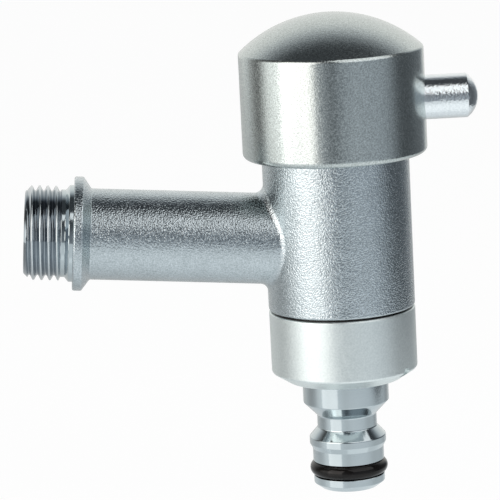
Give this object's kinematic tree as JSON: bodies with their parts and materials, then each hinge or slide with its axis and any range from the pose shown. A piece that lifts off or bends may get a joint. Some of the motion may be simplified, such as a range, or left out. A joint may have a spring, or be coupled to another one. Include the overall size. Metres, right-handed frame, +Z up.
{
  "type": "bib tap",
  "caption": "Wall-mounted bib tap: threaded inlet pipe, upright valve barrel, domed quarter-turn cap with a lever pin, and an outlet collar with a plug for a hose connector.",
  "frame": {"origin": "on the inlet thread's axis, in the plane of the flange face that meets the wall", "axes": "+X along the inlet pipe, out of the wall; +Z up; the valve axis lies in the XZ plane and leans 4.75 degrees"},
  "size_m": [0.0989, 0.0406, 0.1068],
  "materials": {
    "plated_casting": "sand-cast grain under chrome plate",
    "satin_cap": "fine satin chrome",
    "polished_chrome": "polished chrome",
    "satin_nickel": "matt nickel",
    "brass": "turned",
    "steel": "plain",
    "black_rubber": "smooth",
    "ceramic": "lapped ceramic",
    "white_plastic": "moulded",
    "grey_plastic": "moulded"
  },
  "bodies": {
    "tap": {"valve_body": "plated_casting", "headwork_housing": "brass", "headwork_o_ring": "black_rubber", "slide_washer": "white_plastic", "fixed_disc": "ceramic", "seat_seal": "black_rubber", "outlet_gasket": "black_rubber", "outlet_collar": "satin_nickel", "check_valve_housing": "white_plastic", "check_valve_o_ring": "black_rubber", "check_valve_spring": "steel", "plug_gasket": "black_rubber", "hose_plug": "polished_chrome", "plug_o_ring": "black_rubber"},
    "handle": {"handle_cap": "satin_cap", "lever_pin": "polished_chrome", "handle_set_screw": "steel", "spindle": "brass", "spindle_o_rings": "black_rubber", "stop_washer": "brass", "spindle_circlip": "steel", "moving_disc": "ceramic"},
    "check_poppet": {"check_valve_poppet": "grey_plastic", "check_valve_seal": "black_rubber"}
  },
  "joints": [
    {"name": "handle_turn", "type": "hinge", "parent": "tap", "child": "handle", "pos_m": [0.05875, 0, 0], "axis": [-0.0828, 0, 0.9966], "range_deg": [0, 90]},
    {"name": "poppet_slide", "type": "slide", "parent": "tap", "child": "check_poppet", "axis": [0.0828, 0, -0.9966], "range_m": [0, 0.003], "stiffness_N_per_m": 80, "springref_m": -0.002, "deforming": ["check_valve_spring"]}
  ]
}
